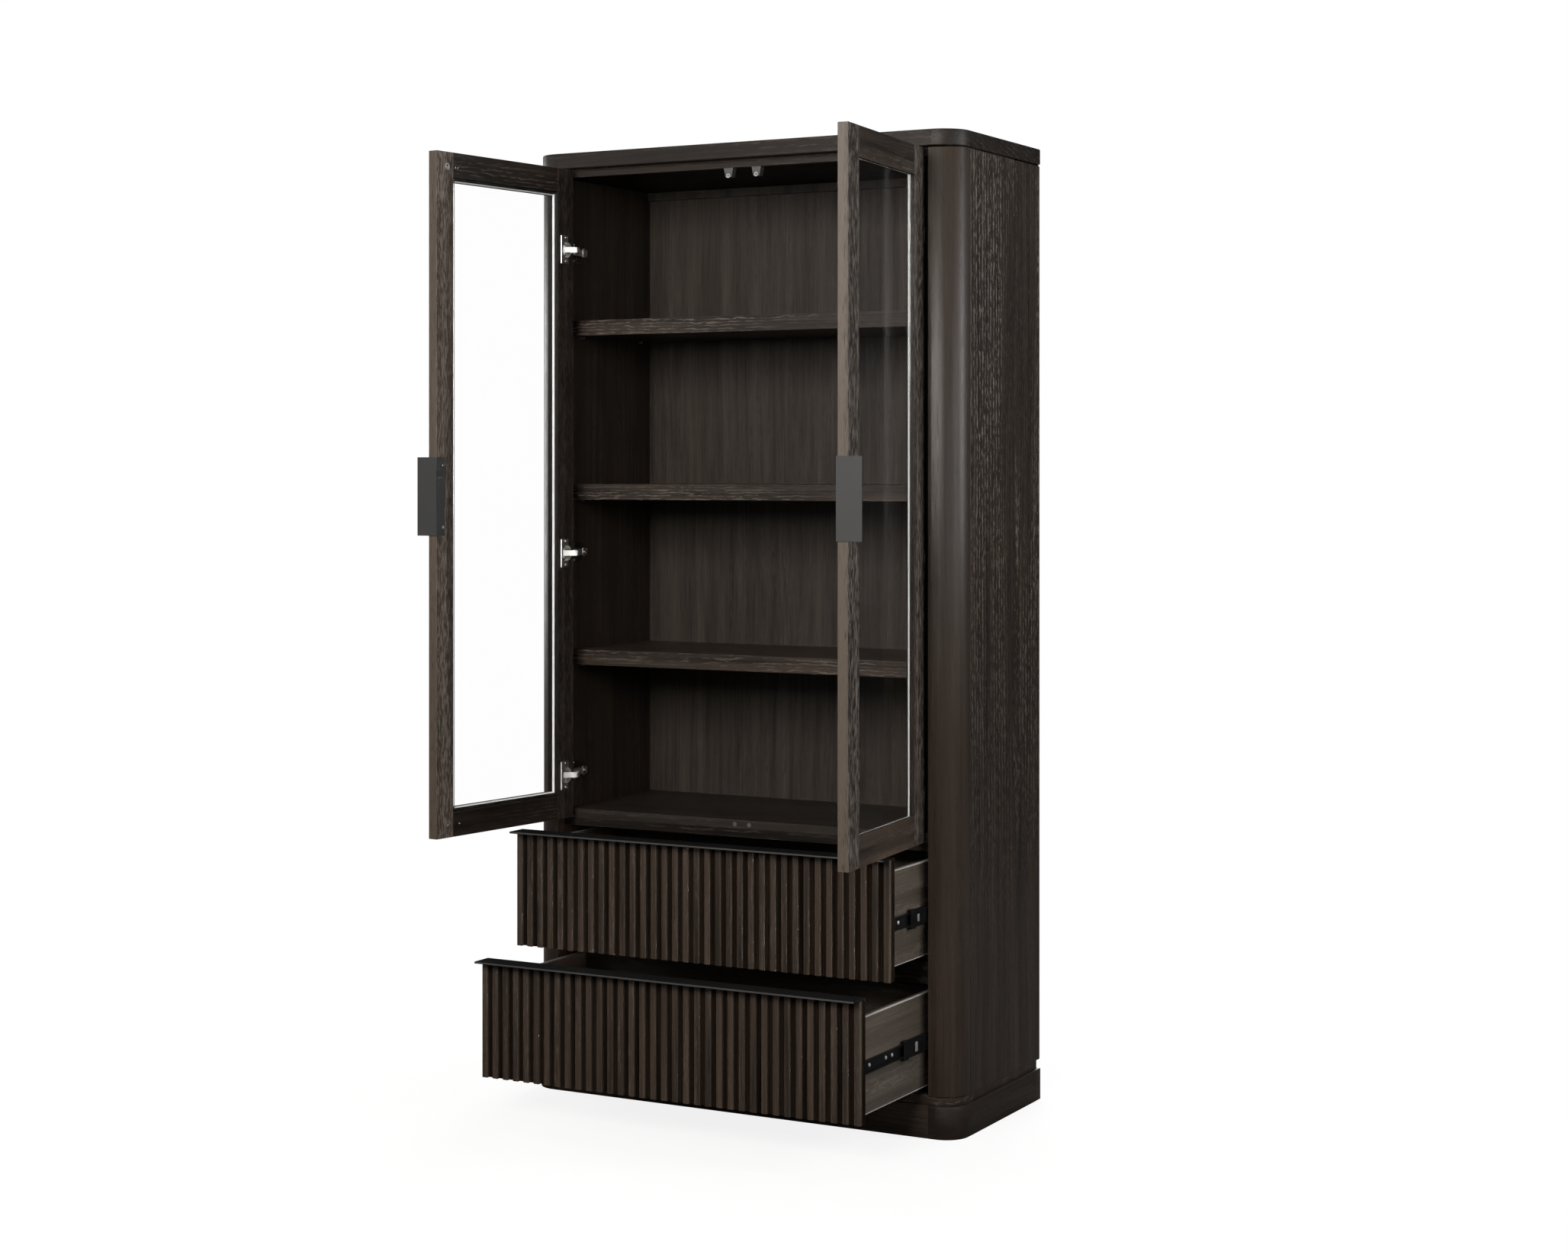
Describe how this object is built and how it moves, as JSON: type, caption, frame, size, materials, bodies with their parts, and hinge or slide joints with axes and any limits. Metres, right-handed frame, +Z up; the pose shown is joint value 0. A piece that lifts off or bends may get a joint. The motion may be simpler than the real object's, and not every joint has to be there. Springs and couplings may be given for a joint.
{
  "type": "bookcase with glass doors",
  "caption": "Tall rounded-corner bookcase with glass doors over drawers with slatted fronts, on a plinth; doors swing open, drawers run on ball-bearing slides.",
  "frame": {"origin": "on the floor, under the middle of the plinth", "axes": "+X to the right seen from the front, +Y to the back, +Z up"},
  "size_m": [1.003, 0.8385, 2],
  "materials": {
    "dark_oak": "open-pored, stained very dark, satin",
    "drawer_wood": "stained, satin",
    "hidden_wood": "plain, dark",
    "glass": "clear, polished",
    "clear_plastic": "clear, glossy glazing strip",
    "nickel": "nickel plated",
    "dark_metal": "powder coated, fine texture",
    "black_steel": "black zinc plated",
    "black_plastic": "moulded"
  },
  "bodies": {
    "carcass": {"back_panel": "dark_oak", "back_trim": "dark_oak", "base_plate": "dark_oak", "cabinet_slides": "black_steel", "door_catches": "black_plastic", "drawer_rails": "dark_oak", "floor_panel": "dark_oak", "hinge_arms": "nickel", "hinge_plates": "nickel", "left_corner_post": "dark_oak", "left_side_lining": "dark_oak", "left_side_panel": "dark_oak", "lower_shelf_board": "dark_oak", "middle_shelf_board": "dark_oak", "plinth_back_board": "dark_oak", "plinth_brace": "dark_oak", "plinth_corners": "dark_oak", "plinth_front_board": "dark_oak", "plinth_side_boards": "dark_oak", "right_corner_post": "dark_oak", "right_side_lining": "dark_oak", "right_side_panel": "dark_oak", "shelf_pins": "nickel", "side_battens": "hidden_wood", "slab_spacer": "hidden_wood", "slide_packers": "hidden_wood", "top_panel": "dark_oak", "top_rail": "dark_oak", "top_slab": "dark_oak", "upper_shelf_board": "dark_oak"},
    "left_door": {"left_door_beads": "clear_plastic", "left_door_free_stile": "dark_oak", "left_door_glass": "glass", "left_door_handle": "dark_metal", "left_door_hinge_cups": "nickel", "left_door_hinge_stile": "dark_oak", "left_door_rails": "dark_oak", "left_door_strikes": "nickel"},
    "right_door": {"right_door_beads": "clear_plastic", "right_door_free_stile": "dark_oak", "right_door_glass": "glass", "right_door_handle": "dark_metal", "right_door_hinge_cups": "nickel", "right_door_hinge_stile": "dark_oak", "right_door_rails": "dark_oak", "right_door_strikes": "nickel"},
    "upper_drawer": {"upper_drawer_bottom": "drawer_wood", "upper_drawer_box": "drawer_wood", "upper_drawer_front": "dark_oak", "upper_drawer_pull": "dark_metal", "upper_drawer_slats": "dark_oak", "upper_drawer_slides": "black_steel"},
    "lower_drawer": {"lower_drawer_bottom": "drawer_wood", "lower_drawer_box": "drawer_wood", "lower_drawer_front": "dark_oak", "lower_drawer_pull": "dark_metal", "lower_drawer_slats": "dark_oak", "lower_drawer_slides": "black_steel"},
    "upper_slide_middles": {"upper_middle_slides": "black_steel"},
    "lower_slide_middles": {"lower_middle_slides": "black_steel"}
  },
  "joints": [
    {"name": "left_door_hinge", "type": "hinge", "parent": "carcass", "child": "left_door", "pos_m": [-0.425, -0.206, 1.2746], "axis": [0, 0, -1], "range_deg": [-96.5, 13.5]},
    {"name": "right_door_hinge", "type": "hinge", "parent": "carcass", "child": "right_door", "pos_m": [0.425, -0.206, 1.2746], "axis": [0, 0, 1], "range_deg": [-96.3, 13.7]},
    {"name": "upper_drawer_slide", "type": "slide", "parent": "carcass", "child": "upper_drawer", "axis": [0, -1, 0], "range_m": [-0.165, 0.185]},
    {"name": "lower_drawer_slide", "type": "slide", "parent": "carcass", "child": "lower_drawer", "axis": [0, -1, 0], "range_m": [-0.291, 0.059]},
    {"name": "upper_middle_slide", "type": "slide", "parent": "carcass", "child": "upper_slide_middles", "axis": [0, -1, 0], "range_m": [-0.097, 0.10876]},
    {"name": "lower_middle_slide", "type": "slide", "parent": "carcass", "child": "lower_slide_middles", "axis": [0, -1, 0], "range_m": [-0.128, 0.02595]}
  ],
  "couplings": [
    {"joint": "upper_middle_slide", "follows": "upper_drawer_slide", "ratio": 0.58788},
    {"joint": "lower_middle_slide", "follows": "lower_drawer_slide", "ratio": 0.43986}
  ]
}
